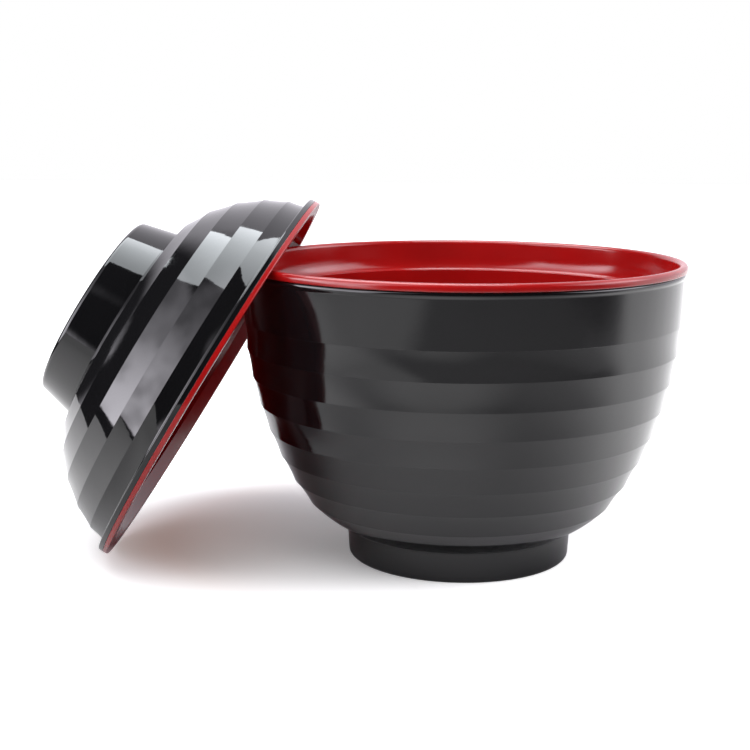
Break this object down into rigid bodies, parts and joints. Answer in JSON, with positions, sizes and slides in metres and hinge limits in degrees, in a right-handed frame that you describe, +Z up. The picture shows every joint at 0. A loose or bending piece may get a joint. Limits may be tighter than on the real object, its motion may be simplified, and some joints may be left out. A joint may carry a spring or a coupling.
{
  "type": "lidded noodle bowl",
  "caption": "Deep ridged melamine bowl on a foot ring, black outside and red inside, with its domed ring-knob lid taken off and leant against the rim.",
  "frame": {"origin": "centre of the set's bounding box, at the table it stands on", "axes": "+X from the leaning lid towards the bowl, +Y away from the camera, +Z up"},
  "size_m": [0.1962, 0.135, 0.1096],
  "materials": {
    "black_melamine": "glossy moulded black",
    "red_melamine": "glossy moulded red"
  },
  "bodies": {
    "bowl": {"bowl_shell": "black_melamine", "bowl_lining": "red_melamine"},
    "lid": {"lid_shell": "black_melamine", "lid_lining": "red_melamine"}
  },
  "joints": [
    {"name": "lid_lift", "type": "slide", "parent": "bowl", "child": "lid", "axis": [0, 0, 1], "range_m": [0, 0.12]}
  ]
}
